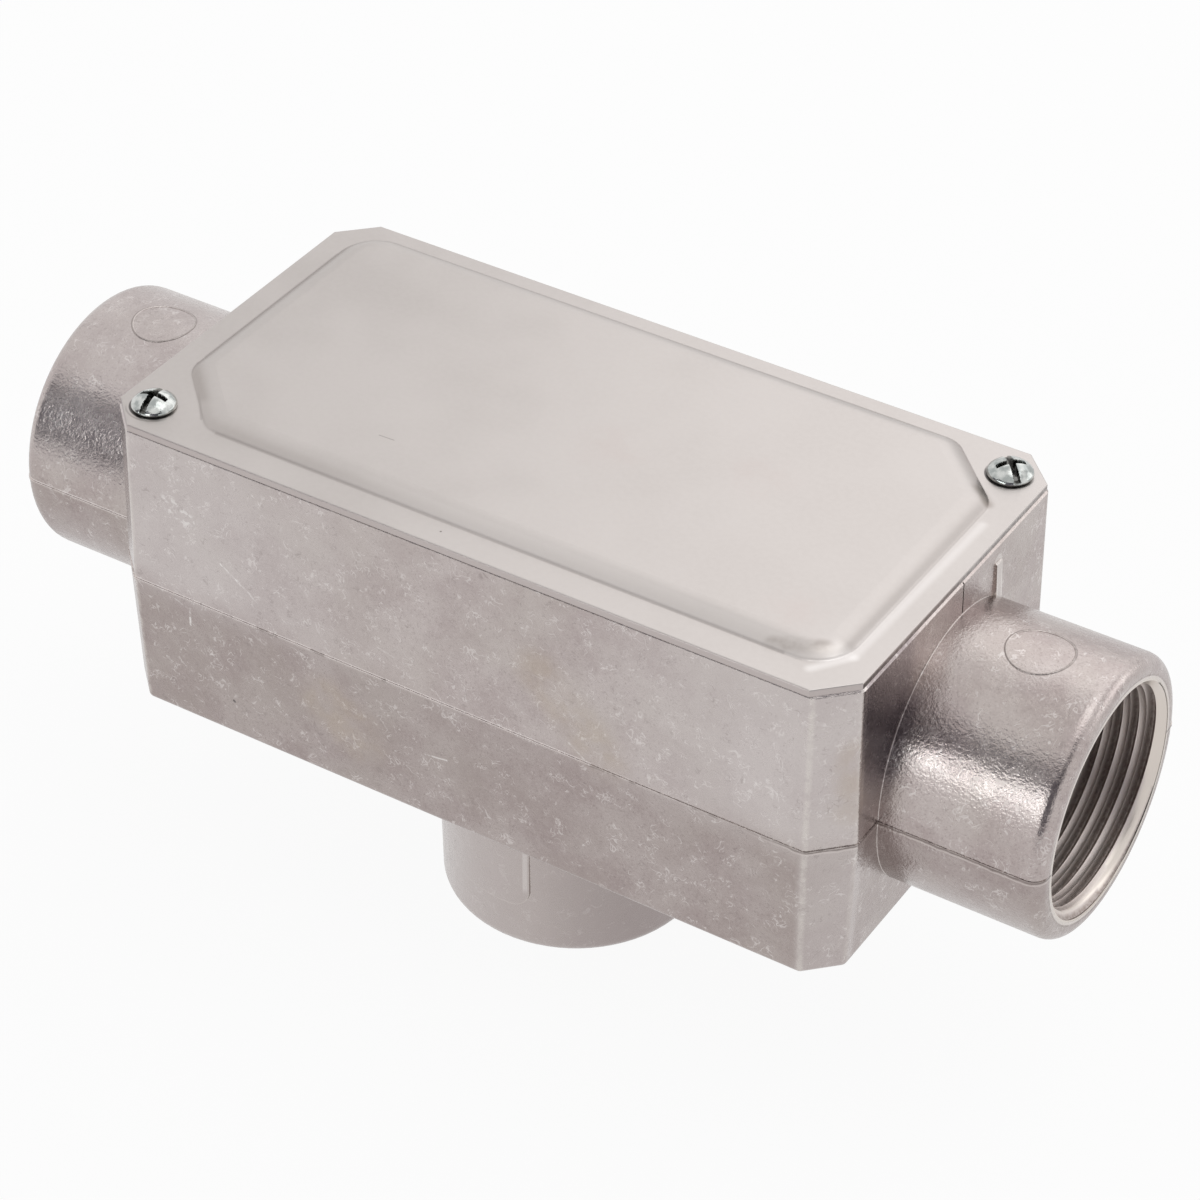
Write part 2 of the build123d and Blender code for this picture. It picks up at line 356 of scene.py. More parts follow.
def back_hub_tone_and_painted_light(s, colour, below_block):
    """The back hub is smoother and greyer, with painted light on its left and middle, painted shade
    under the block and towards its right side, and a painted highlight along the pad's edge.
    """
    along, across, height = s.split(s.place)
    colour = s.tint(colour, below_block, 0.75, grey(0.475, 0.425, 0.41))
    # Painted light on the back hub's left and middle.
    hub_painted_light = s.ramp(height, casting_bottom - 2 * MM, casting_bottom - 10 * MM)
    hub_painted_light = s.times(s.ramp(along, 8 * MM, -12 * MM), hub_painted_light)
    colour = s.tint(colour, s.times(below_block, hub_painted_light), 0.36, grey(0.60, 0.56, 0.55))
    # Painted shade under the block and towards the hub's right side.
    hub_painted_shade = s.most(s.ramp(height, casting_bottom - 5 * MM, casting_bottom), s.ramp(along, 2 * MM, 19 * MM))
    colour = s.tint(colour, s.times(below_block, hub_painted_shade), 0.5, grey(0.22, 0.18, 0.18))
    # Painted highlight along the right edge of the pad.
    pad_edge_painted_highlight = s.ramp(s.apart(along, pad_edge), 0.45 * MM, 0.25 * MM)
    pad_edge_painted_highlight = s.times(pad_edge_painted_highlight, s.ramp(height, 10.5 * MM, 12 * MM), s.ramp(across, 0.0, -1 * MM))
    return s.tint(colour, s.times(pad_edge_painted_highlight, below_block), 0.4, grey(0.70, 0.66, 0.64))


def end_face_painted_reflection(s, colour):
    """Painted reflection of the right hub: darker where the end face stands close beside it."""
    along, across, height = s.split(s.place)
    end_face = s.times(s.ramp(along, 55.0 * MM, 56.0 * MM), s.ramp(along, 60.0 * MM, 58.5 * MM))
    beside = s.times(s.ramp(across, -10 * MM, -14 * MM), s.ramp(across, -24.1 * MM, -23.8 * MM))
    upper = s.ramp(height, axis_z, axis_z + 10 * MM)
    # Painted reflection: the hub's dark side seen in the end face.
    return s.tint(colour, s.times(beside, end_face, upper), 0.5, grey(0.16, 0.13, 0.15))


def tumbling_marks(s, colour, below_block):
    """Short curved marks left by tumbling, most of them light and some dark, fewer on the back hub."""
    tumbled = s.rest(below_block, 0.7)
    for shift, size, share, tone in (
        (0.3, 1.2 * MM, 0.38, grey(0.80, 0.76, 0.74)),
        (0.6, 1.9 * MM, 0.38, grey(0.78, 0.74, 0.72)),
        (0.9, 1.3 * MM, 0.25, grey(0.20, 0.165, 0.16)),
    ):
        moved = s.vector("ADD", s.place, (shift, shift / 3, shift / 2))
        curl = s.noise(size, detail=1.0, distortion=1.2, place=moved)
        line = s.ramp(s.apart(curl, 0.5), 0.034, 0.01)
        where = s.ramp(s.noise(1.6 * size, detail=1.0, place=moved), 0.56, 0.66)
        colour = s.tint(colour, s.times(line, where, tumbled), share, tone)
    return colour


def stains(s, colour):
    """Yellowish stains on the front face and on the cut corner."""
    cloud = s.ramp(s.noise(3.5 * MM, detail=3.0), 0.35, 0.65, 0.3, 1.0)
    for start, end, width in (
        ((0.0134, -0.0297, 0.0610), (0.0229, -0.0297, 0.0519), 1.5 * MM),
        ((0.0575, -0.0255, 0.0640), (0.0575, -0.0255, 0.0560), 0.4 * MM),
        ((-0.0207, -0.0297, 0.0409), (-0.0167, -0.0297, 0.0381), 2.5 * MM),
    ):
        stain = s.times(s.stroke(start, end, width, 4 * MM), cloud)
        colour = s.tint(colour, stain, 0.36, grey(0.43, 0.35, 0.27))
    return colour


def worn_edges(s, colour, middle):
    """Light worn edges: the sharp ones, and the eight rounded upright ones of the block."""
    along = s.split(s.place)[0]
    wear = s.most(edge_wear(s, 0.45 * MM), upright_edges(s))
    wear = s.times(wear, s.ramp(middle, 0.35, 0.6, 0.25, 1.0))
    root = s.times(s.ramp(along, 56.7 * MM, 56.9 * MM), s.ramp(along, 59.0 * MM, 58.5 * MM))
    wear = s.times(wear, s.rest(root, 0.5))
    return s.tint(colour, wear, 0.38, grey(0.72, 0.68, 0.63))


def ring_marks(s, colour, middle):
    """A thin dark line of painted shade at the ejector rings, and round each mouth a light worn ring
    with a dark ring of painted shade outside it.
    """
    ring = s.most(ring_line(s, ring_place), ring_line(s, -ring_place))
    # Painted shade along the ejector ring's fine groove.
    colour = s.tint(colour, ring, 0.5, grey(0.20, 0.17, 0.16))
    ring_out = mouth_distance(s)
    bright = s.times(s.ramp(ring_out, -0.1 * MM, 0.0), s.ramp(ring_out, 0.5 * MM, 0.35 * MM))
    colour = s.tint(colour, bright, 0.7, grey(0.70, 0.645, 0.60))
    # Painted shade where the machined face meets the rounded rim of the mouth.
    mouth_painted_shade = s.times(s.ramp(ring_out, 0.4 * MM, 0.5 * MM), s.ramp(ring_out, 0.75 * MM, 0.6 * MM))
    mouth_painted_shade = s.times(mouth_painted_shade, s.ramp(middle, 0.4, 0.6, 0.2, 1.0))
    return s.tint(colour, mouth_painted_shade, 0.55, grey(0.20, 0.16, 0.14))


def rib_painted_highlights(s, colour):
    """The feeder rib, painted paler than the face, and painted highlights along its two edges."""
    rib_foot = axis_z + math.sqrt(hub_radius**2 - rib_place**2)
    rib_top = rib_foot + rib_length
    foot, top = (rib_out, rib_place, rib_foot), (rib_out, rib_place, rib_top)
    body = s.stroke(foot, top, rib_half_width + 0.3 * MM, 0.3 * MM)
    # Painted light over the rib.
    colour = s.tint(colour, body, 0.45, grey(0.74, 0.70, 0.67))
    for side in (-1, 1):
        y = rib_place + side * rib_half_width
        # Painted highlight along one of the rib's edges.
        line = s.stroke((rib_out, y, rib_foot), (rib_out, y, rib_top), 0.16 * MM, 0.22 * MM)
        colour = s.tint(colour, line, 0.7, grey(0.76, 0.72, 0.69))
    return colour


def front_scratches(s, flat):
    """Light broken scratches, laid on the front face seen flat."""
    broken = s.ramp(s.noise(0.8 * MM, detail=1.0), 0.4, 0.55, 0.25, 1.0)
    lines = [
        s.times(s.stroke(start, end, half_width, 0.15 * MM, flat), share)
        for start, end, half_width, share in (
            ((-0.0378, 0.0, 0.0582), (-0.0345, 0.0, 0.0560), 0.07 * MM, 0.75),
            ((-0.0350, 0.0, 0.0566), (-0.0318, 0.0, 0.0541), 0.05 * MM, 0.45),
            ((-0.0435, 0.0, 0.0483), (-0.0438, 0.0, 0.0453), 0.08 * MM, 0.75),
            ((-0.0460, 0.0, 0.0490), (-0.0438, 0.0, 0.0482), 0.05 * MM, 0.4),
            ((-0.0120, 0.0, 0.0550), (-0.0095, 0.0, 0.0543), 0.05 * MM, 0.5),
            ((0.0180, 0.0, 0.0520), (0.0212, 0.0, 0.0498), 0.05 * MM, 0.5),
            ((-0.0050, 0.0, 0.0395), (-0.0015, 0.0, 0.0400), 0.05 * MM, 0.6),
        )
    ]
    return s.times(s.most(*lines), broken)


def front_marks(s, colour):
    """Scratches, one pale patchy rub and one dark pore on the front face."""
    shake = s.vector("MULTIPLY", s.noise(1.5 * MM, detail=2.0), (0.4 * MM, 0.0, 0.4 * MM))
    flat = s.vector("ADD", s.vector("MULTIPLY", s.place, (1.0, 0.0, 1.0)), shake)
    on_front = s.ramp(s.split(s.place)[1], -27 * MM, -28 * MM)
    patches = s.ramp(s.noise(0.9 * MM, detail=2.0), 0.5, 0.62)
    rub = s.stroke((-0.0462, 0.0, 0.0650), (-0.0428, 0.0, 0.0632), 0.8 * MM, 1.0 * MM, flat)
    light = s.most(front_scratches(s, flat), s.times(rub, patches, 0.6))
    colour = s.mix(s.times(light, on_front), colour, grey(0.78, 0.75, 0.73))
    pore = s.stroke((-0.0373, 0.0, 0.0345), (-0.0372, 0.0, 0.0344), 0.13 * MM, 0.15 * MM, flat)
    return s.tint(colour, s.times(pore, on_front), 0.8, grey(0.10, 0.09, 0.09))


def parting_line(s, colour, middle):
    """The parting line wavers and holds dirt towards the right-hand end; painted light lies just above
    it towards the left-hand end, so that it fades along the front, and just under it at the right-hand
    end.
    """
    along, _, height = s.split(s.place)
    waver = s.times(s.math("SUBTRACT", s.noise(2.0 * MM, detail=2.0), 0.5), 0.5 * MM)
    line_height = s.math("ADD", waver, axis_z - 0.12 * MM)
    clear = s.ramp(along, 40 * MM, 56 * MM)
    patchy = s.ramp(s.noise(3.0 * MM, detail=3.0), 0.58, 0.66, 0.0, 0.6)
    amount = s.most(s.times(clear, s.ramp(middle, 0.3, 0.5, 0.5, 1.0)), patchy)
    dirt = s.times(s.ramp(s.apart(height, line_height), 0.1 * MM, 0.26 * MM, 1.0, 0.0), amount)
    colour = s.tint(colour, dirt, 0.75, grey(0.16, 0.13, 0.12))
    # Painted light just above the seam, which hides its shade towards the left-hand end.
    off_seam = s.apart(height, axis_z + 0.22 * MM)
    leftward = s.ramp(along, 15 * MM, 40 * MM, 1.0, 0.0)
    clean = s.ramp(amount, 0.4, 0.1, 0.3, 1.0)
    painted_light_above_seam = s.times(s.ramp(off_seam, 0.12 * MM, 0.22 * MM, 1.0, 0.0), leftward, clean)
    colour = s.tint(colour, painted_light_above_seam, 0.6, grey(0.84, 0.78, 0.76))
    # Painted light just under the line at the right-hand end.
    under = s.math("SUBTRACT", line_height, height)
    painted_light_under_seam = s.times(s.ramp(under, 0.25 * MM, 0.35 * MM), s.ramp(under, 0.6 * MM, 0.45 * MM), clear)
    return s.tint(colour, painted_light_under_seam, 0.45, grey(0.66, 0.60, 0.57))


def cast_material():
    """Tumbled die-cast metal: warm grey mottling, sparkling grain, hair-fine light marks and stains."""
    s = Shader("cast_metal")
    height = s.split(s.place)[2]
    middle = s.noise(1.3 * MM, detail=4.0, roughness=0.65)
    below_block = s.ramp(height, casting_bottom + 0.1 * MM, casting_bottom - 0.1 * MM)
    colour = cast_mottle(s, middle)
    colour = upper_half_painted_light(s, colour)
    colour = back_hub_tone_and_painted_light(s, colour, below_block)
    colour = end_face_painted_reflection(s, colour)
    colour = tumbling_marks(s, colour, below_block)
    colour = stains(s, colour)
    colour = worn_edges(s, colour, middle)
    colour = ring_marks(s, colour, middle)
    colour = rib_painted_highlights(s, colour)
    colour = front_marks(s, colour)
    colour = parting_line(s, colour, middle)
    grain = s.bump(s.noise(0.42 * MM, detail=2.0, roughness=0.65), 0.06 * MM)
    dents = s.bump(s.noise(2.4 * MM, detail=2.0), 0.05 * MM, grain)
    return s.metal(colour, s.ramp(middle, 0.2, 0.8, 0.20, 0.30), dents)


def panel_slope(s, colour):
    """The panel's slope: painted light along the front, and painted shade on the other sides, most so at
    its foot.
    """
    along, across, height = s.split(s.place)
    on_slope = s.ramp(height, cover_top + 0.02 * MM, cover_top + 0.1 * MM)
    front = s.ramp(across, -19.5 * MM, -21.0 * MM)
    under_shoulder = s.ramp(height, cover_top + 1.4 * MM, cover_top + 1.1 * MM)
    from_left = s.ramp(along, -35 * MM, 0.0, 0.2, 1.0)
    # Painted light on the front slope.
    paler = s.times(on_slope, under_shoulder, from_left, front)
    colour = s.tint(colour, paler, 0.35, grey(0.70, 0.655, 0.63))
    # Painted shade on the slope, less at the front and most at its foot.
    slope_painted_shade = s.times(on_slope, s.ramp(height, cover_top + 1.36 * MM, cover_top + 0.6 * MM))
    front_less_shade = s.times(front, s.ramp(along, -35 * MM, 0.0, 0.5, 0.9))
    slope_painted_shade = s.times(slope_painted_shade, s.rest(front_less_shade), s.ramp(along, 30 * MM, 45 * MM, 1.0, 0.5))
    return s.tint(colour, slope_painted_shade, 0.5, grey(0.30, 0.26, 0.24))


def panel_marks(s, colour, cloud):
    """Smudges and painted glints at the panel's corners, a fleck, painted shade along the crease at its
    foot, and a scratch.
    """
    for start, end, share in (
        ((0.0440, -0.0248, 0.0761), (0.0505, -0.0220, 0.0761), 0.6),
        ((0.0505, 0.0182, 0.0760), (0.0527, 0.0163, 0.0760), 0.7),
    ):
        dark = s.times(s.stroke(start, end, 0.3 * MM, 1.2 * MM), cloud)
        colour = s.tint(colour, dark, share, grey(0.22, 0.18, 0.155))
    # Painted highlights: soft glints along the foot at the front right corner and the right side.
    for start, end, share in (
        ((0.0503, -0.0258, 0.0756), (0.0537, -0.0210, 0.0756), 0.4),
        ((0.0537, -0.0210, 0.0756), (0.0543, 0.0120, 0.0756), 0.3),
    ):
        colour = s.tint(colour, s.stroke(start, end, 0.0, 1.2 * MM), share, grey(0.86, 0.83, 0.82))
    fleck = s.spot((-0.0037, -0.0269, 0.0754), 0.08 * MM, 0.12 * MM)
    colour = s.tint(colour, fleck, 0.8, grey(0.12, 0.10, 0.09))
    # Painted shade along the crease at the panel's foot.
    for start, end in (
        ((-0.0411, -0.0250, 0.0755), (0.0460, -0.0250, 0.0755)),
        ((-0.0533, -0.0128, 0.0755), (-0.0448, -0.0233, 0.0755)),
        ((-0.0533, -0.0110, 0.0755), (-0.0533, 0.0200, 0.0755)),
    ):
        colour = s.tint(colour, s.stroke(start, end, 0.05 * MM, 0.3 * MM), 0.35, grey(0.24, 0.21, 0.20))
    scratch = s.stroke((-0.0215, -0.0151, 0.0768), (-0.0192, -0.0150, 0.0768), 0.04 * MM, 0.08 * MM)
    return s.tint(colour, scratch, 0.6, grey(0.25, 0.22, 0.21))


def screw_offset(s, node):
    """How far a point lies from a screw's axis, towards the back and in all."""
    low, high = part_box(node)
    x, y, _ = s.split(s.vector("SUBTRACT", s.place, tuple((low + high) / 2)))
    return y, s.radius(x, y)


def screw_painted_shade(s, colour):
    """Painted shadow: a dark line by each screw's head, and a ring of painted shade in front of one
    head.
    """
    for node in screw_cross_turns:
        y, away = screw_offset(s, node)
        off_head = s.apart(away, screw_head_radius + 0.05 * MM)
        shadow = s.times(s.ramp(off_head, 0.15 * MM, 0.3 * MM, 1.0, 0.0), s.ramp(y, 1.0 * MM, -1.5 * MM))
        colour = s.tint(colour, shadow, 0.85, grey(0.05, 0.045, 0.045))
    # Painted shade in a ring just in front of the front left screw's head.
    y, away = screw_offset(s, "cover_screw_front_left")
    on_ring = s.ramp(s.apart(away, shade_ring_radius), 0.05 * MM, 0.2 * MM, 1.0, 0.0)
    front_shade_ring = s.times(on_ring, s.ramp(y, -1.5 * MM, -3.0 * MM))
    return s.tint(colour, front_shade_ring, 0.5, grey(0.26, 0.23, 0.22))


def sheared_side(s, colour):
    """The sheared side of the sheet: at the ends it is rough and darker below, where the metal tore."""
    height = s.split(s.place)[2]
    geometry = s.tree.nodes.new("ShaderNodeNewGeometry")
    endways, sideways, _ = s.split(s.vector("ABSOLUTE", geometry.outputs["Normal"]))
    under_top = s.ramp(height, cover_top, cover_top - 0.1 * MM)
    lengthways = s.times(s.ramp(sideways, 0.6, 0.7), under_top)
    colour = s.tint(colour, lengthways, 0.5, grey(0.46, 0.395, 0.385))
    low = s.ramp(height, casting_top + 0.75 * MM, casting_top + 0.55 * MM)
    torn = s.ramp(s.noise(0.5 * MM, detail=3.0, roughness=0.7), 0.35, 0.6, 0.35, 1.0)
    torn = s.times(s.ramp(endways, 0.75, 0.9), low, torn)
    return s.tint(colour, torn, 0.75, grey(0.16, 0.14, 0.135))


def cover_material():
    """Satin sheet: even and pale, with faint smudges, a few spots and a torn lower edge."""
    s = Shader("cover_metal")
    large = s.noise(22 * MM, detail=2.0)
    fine = s.noise(0.8 * MM, detail=2.0)
    colour = s.mix(s.ramp(large, 0.35, 0.65), grey(0.50, 0.462, 0.443), grey(0.535, 0.496, 0.477))
    colour = s.mix(s.ramp(fine, 0.3, 0.7, 0.0, 0.12), colour, grey(0.60, 0.565, 0.545))
    cloud = s.ramp(s.noise(4 * MM, detail=3.0), 0.35, 0.65, 0.2, 1.0)
    for centre, reach in (
        ((0.006, -0.001, 0.0768), 2 * MM),
        ((0.026, 0.004, 0.0768), 1.5 * MM),
        ((0.044, -0.018, 0.0768), 1.2 * MM),
    ):
        smudge = s.times(s.spot(centre, reach, 5 * MM), cloud)
        colour = s.tint(colour, smudge, 0.22, grey(0.50, 0.42, 0.40))
    colour = panel_slope(s, colour)
    colour = panel_marks(s, colour, cloud)
    colour = screw_painted_shade(s, colour)
    colour = sheared_side(s, colour)
    waves = s.bump(s.noise(7 * MM, detail=2.0), 0.03 * MM)
    satin = s.bump(s.noise(0.5 * MM, detail=2.0), 0.004 * MM, waves)
    return s.metal(colour, s.ramp(large, 0.3, 0.7, 0.30, 0.36), satin)


def thread_material():
    """Freshly cut metal: a smooth pale entry cone, scored grey crests, and painted shade that darkens
    the roots.
    """
    s = Shader("cut_thread")
    crest, cone = s.layer("crest"), s.layer("cone")
    streak = s.noise(0.5 * MM, detail=2.0, roughness=0.6)
    # Painted shade: darker towards the thread's roots, paler on its crests.
    colour = s.mix(s.ramp(crest, 0.1, 0.9), grey(0.34, 0.285, 0.26), grey(0.72, 0.645, 0.61))
    colour = s.mix(s.ramp(streak, 0.3, 0.7, 0.0, 0.35), colour, grey(0.74, 0.70, 0.68))
    colour = s.mix(cone, colour, grey(0.66, 0.60, 0.55))
    roughness = s.math("SUBTRACT", 0.52, s.times(cone, 0.22))
    scores = s.times(s.noise(0.3 * MM, detail=2.0), s.rest(cone))
    return s.metal(colour, roughness, s.bump(scores, 0.02 * MM))


def zinc_material():
    """Bright zinc plating, with painted shade low in the recess."""
    s = Shader("zinc_plate")
    patch = s.noise(1.2 * MM, detail=2.0)
    colour = s.mix(s.ramp(patch, 0.35, 0.65), grey(0.36, 0.38, 0.37), grey(0.62, 0.63, 0.61))
    # Painted shade, deepest at the bottom of the cross and slot.
    colour = s.tint(colour, s.layer("recess"), 0.85, grey(0.06, 0.055, 0.05))
    waves = s.bump(s.noise(0.6 * MM, detail=2.0), 0.03 * MM)
    return s.metal(colour, s.ramp(patch, 0.3, 0.7, 0.10, 0.2), waves)


def piece_from(name, points, faces, material, smooth_angle=35.0, layers=None):
    """Make a mesh object of points and faces, cleaned, shaded, slotted and riding on the part."""
    weld = 1e-7
    mesh = bpy.data.meshes.new(name)
    mesh.from_pydata(points, [], faces)
    for layer, values in (layers or {}).items():
        mesh.attributes.new(layer, "FLOAT", "POINT").data.foreach_set("value", values)
    work = bmesh.new()
    work.from_mesh(mesh)
    bmesh.ops.remove_doubles(work, verts=work.verts, dist=weld)
    bmesh.ops.dissolve_degenerate(work, dist=weld, edges=work.edges)
    bmesh.ops.recalc_face_normals(work, faces=work.faces)
    work.to_mesh(mesh)
    work.free()
    mesh.shade_smooth()
    mesh.set_sharp_from_angle(angle=math.radians(smooth_angle))
    piece = bpy.data.objects.new(name, mesh)
    bpy.context.scene.collection.objects.link(piece)
    mesh.materials.append(material)
    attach(piece, "root")
    return piece


def ring_faces(rows, columns):
    """Faces of a grid of rows that closes on itself round the columns."""
    return [
        (
            row * columns + step,
            (row + 1) * columns + step,
            (row + 1) * columns + (step + 1) % columns,
            row * columns + (step + 1) % columns,
        )
        for row in range(rows - 1)
        for step in range(columns)
    ]


def closed_loop_faces(around, section):
    """Faces of a ring-shaped body with a closed section."""
    return [
        (
            step * section + corner,
            step * section + (corner + 1) % section,
            ((step + 1) % around) * section + (corner + 1) % section,
            ((step + 1) % around) * section + corner,
        )
        for step in range(around)
        for corner in range(section)
    ]


def thread_form():
    """Shares of a pitch, each with the thread's inside radius there, from one crest edge to the next."""
    rise = thread_root_radius - thread_crest_radius
    return (
        (0.00, thread_crest_radius - thread_burr),
        (0.04, thread_crest_radius),
        (0.20, thread_crest_radius - thread_tilt / 2),
        (0.37, thread_crest_radius - thread_tilt),
        (0.41, thread_crest_radius - thread_tilt - thread_burr),
        (0.50, thread_crest_radius + 0.40 * rise),
        (0.60, thread_root_radius - 0.12 * rise),
        (0.705, thread_root_radius),
        (0.81, thread_root_radius - 0.12 * rise),
        (0.91, thread_crest_radius + 0.40 * rise),
    )


def helix_faces(rows, steps, rows_a_turn):
    """Faces between a helix's rows, each of which runs on into the row a turn before it."""
    faces = []
    for row in range(rows - 1):
        for step in range(steps):
            if step < steps - 1:
                ends = (row * steps + step + 1, (row + 1) * steps + step + 1)
            else:
                ends = (max(row - rows_a_turn, 0) * steps, max(row + 1 - rows_a_turn, 0) * steps)
            corners = (row * steps + step, (row + 1) * steps + step, ends[1], ends[0])
            faces.append(tuple(dict.fromkeys(corners)))
    return faces


def hub_thread(name, mount, material):
    """The right-hand thread inside one mouth: a closed sleeve whose rows follow the helix."""
    outward = Vector(mount["axis"])
    mouth = Vector(mount["pos_m"])
    length = mount["dims"]["length_mm"] * MM
    outside = mount["dims"]["r_mm"] * MM - thread_bore_gap
    side = outward.orthogonal().normalized()
    other = outward.cross(side)
    form = thread_form()
    turns = math.ceil(length / thread_pitch) + 1
    rows = [(turn + share, radius) for turn in range(turns) for share, radius in form]
    steps = thread_steps_round

    def place(radius, depth, step):
        angle = 2 * math.pi * step / steps
        return mouth + (side * math.cos(angle) + other * math.sin(angle)) * radius - outward * depth

    points, crest, cone = [], [], []
    for turn, radius in rows:
        for step in range(steps):
            depth = (turn - step / steps) * thread_pitch
            depth = min(max(depth, thread_mouth_gap), length)
            entry = thread_entry_radius - thread_entry_slope * depth
            points.append(place(max(radius, entry), depth, step))
            share = (thread_root_radius - radius) / (thread_root_radius - thread_crest_radius)
            crest.append(min(max(share, 0.0), 1.0))
            cone.append(1.0 if entry >= radius else 0.0)
    last = len(rows) - 1
    faces = helix_faces(len(rows), steps, len(form))
    near = len(points)
    far = near + steps
    points += [place(outside, thread_mouth_gap, step) for step in range(steps)]
    points += [place(outside, length, step) for step in range(steps)]
    crest += [0.0] * (2 * steps)
    cone += [1.0] * steps + [0.0] * steps
    for step in range(steps):
        following = (step + 1) % steps
        faces.append((near + step, near + following, far + following, far + step))
        faces.append((step, following, near + following, near + step))
        faces.append((last * steps + step, far + step, far + following, last * steps + following))
    layers = {"crest": crest, "cone": cone}
    return piece_from(name, points, faces, material, 40.0, layers)


def ejector_ring(name, centre_x, material):
    """The thin ring that an ejector pin left on top of an end hub."""
    around, section = 128, 8
    points = []
    for step in range(around):
        angle = 2 * math.pi * step / around
        for corner in range(section):
            turn = 2 * math.pi * corner / section
            radius = ring_radius + math.cos(turn) * ring_width / 2
            x = centre_x + radius * math.cos(angle)
            y = radius * math.sin(angle)
            lift = (hub_radius + math.sin(turn) * ring_height) / hub_radius
            points.append((x, y * lift, axis_z + math.sqrt(hub_radius**2 - y**2) * lift))
    faces = closed_loop_faces(around, section)
    return piece_from(name, points, faces, material, 60.0)


def concave_section(steps=6):
    """Points of a fillet's section, as (out along the hub, out from its surface), corner included."""
    curve = []
    for step in range(steps + 1):
        angle = math.radians(90 * step / steps)
        curve.append((root_fillet * (1 - math.sin(angle)), root_fillet * (1 - math.cos(angle))))
    buried = root_fillet * 0.2
    return curve + [(-buried, root_fillet), (-buried, -buried), (root_fillet, -buried)]


def end_hub_root(name, way, material):
    """The small fillet between an end hub and the end face, which leans with the draft."""
    around = 160
    section = concave_section()
    points = []
    for step in range(around):
        angle = 2 * math.pi * step / around
        rise = (hub_radius + root_fillet / 2) * math.sin(angle)
        lean = rise * math.tan(upper_draft) if rise > 0 else -rise * math.tan(lower_draft)
        for out, away in section:
            radius = hub_radius + away
            points.append((
                way * (casting_half_length - lean + out),
                radius * math.cos(angle),
                axis_z + radius * math.sin(angle),
            ))
    faces = closed_loop_faces(around, len(section))
    return piece_from(name, points, faces, material, 50.0)


def back_hub_root(name, material):
    """The small fillet between the back hub and the casting's bottom."""
    around = 160
    section = concave_section()
    points = []
    for step in range(around):
        angle = 2 * math.pi * step / around
        for out, away in section:
            radius = hub_radius + away
            points.append((radius * math.cos(angle), radius * math.sin(angle), casting_bottom - out))
    faces = closed_loop_faces(around, len(section))
    return piece_from(name, points, faces, material, 50.0)


def soft_step(value, edge, soft):
    """1 below the edge, 0 above it, smooth between."""
    share = min(max((edge + soft / 2 - value) / soft, 0.0), 1.0)
    return share * share * (3 - 2 * share)


def recess_at(x, y):
    """How deep the screw's cross and slot go at one point of its head."""
    soft, end_soft = 0.1 * MM, 0.3 * MM
    narrowing, rising = 0.25, 0.45
    deep = 0.0
    for along, across in ((x, y), (y, x)):
        out = abs(along) / cross_half_span
        reach = soft_step(abs(along), cross_half_span, end_soft)
        width = soft_step(abs(across), cross_half_width * (1 - narrowing * out), soft)
        floor = cross_depth * (1 - rising * out**2)
        deep = max(deep, reach * width * floor)
    deep = max(deep, slot_depth * soft_step(abs(x), slot_half_width, soft))
    return deep


def cover_screw(node, material):
    """A domed head with a combined cross and slot, on its shank, standing for the plain screw."""
    low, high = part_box(node)
    centre = (low + high) / 2
    turn = math.radians(screw_cross_turns[node])
    steps = 192
    rings = 72
    rise = screw_dome - screw_rim
    dome_radius = (screw_head_radius**2 + rise**2) / (2 * rise)
    dome_edge = screw_head_radius - 0.12 * MM
    seat_gap = 0.005 * MM
    points, depths = [(centre.x, centre.y, cover_top + screw_dome - recess_at(0, 0))], [1.0]
    for ring in range(1, rings + 1):
        radius = dome_edge * ring / rings
        for step in range(steps):
            angle = 2 * math.pi * step / steps
            x, y = radius * math.cos(angle), radius * math.sin(angle)
            deep = recess_at(x, y)
            top = screw_dome - dome_radius + math.sqrt(dome_radius**2 - radius**2)
            top = max(top - deep, min(screw_rim, top))
            points.append((
                centre.x + x * math.cos(turn) - y * math.sin(turn),
                centre.y + x * math.sin(turn) + y * math.cos(turn),
                cover_top + top,
            ))
            depths.append(min(deep / slot_depth, 1.0))
    profile = (
        (screw_head_radius - 0.03 * MM, screw_rim * 0.9),
        (screw_head_radius, screw_rim * 0.7),
        (screw_head_radius, 0.22 * MM),
        (screw_head_radius - 0.12 * MM, 0.08 * MM),
        (screw_head_radius - 0.25 * MM, seat_gap),
        (screw_shank_radius, seat_gap),
        (screw_shank_radius, 0.5 * MM - screw_length),
        (screw_shank_radius - 0.5 * MM, 0.01 * MM - screw_length),
    )
    for radius, height in profile:
        for step in range(steps):
            angle = 2 * math.pi * step / steps + turn
            x, y = radius * math.cos(angle), radius * math.sin(angle)
            points.append((centre.x + x, centre.y + y, cover_top + height))
            depths.append(0.0)
    faces = [(0, 1 + step, 1 + (step + 1) % steps) for step in range(steps)]
    rows = rings + len(profile)
    faces += [tuple(1 + corner for corner in face) for face in ring_faces(rows, steps)]
    faces.append(tuple(1 + (rows - 1) * steps + step for step in range(steps)))
    piece = piece_from("detailed_" + node, points, faces, material, 50.0, {"recess": depths})
    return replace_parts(piece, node)


def paint(node, material):
    """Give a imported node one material."""
    mesh = frame["nodes"][node].data
    mesh.materials.clear()
    mesh.materials.append(material)
    for polygon in mesh.polygons:
        polygon.material_index = 0


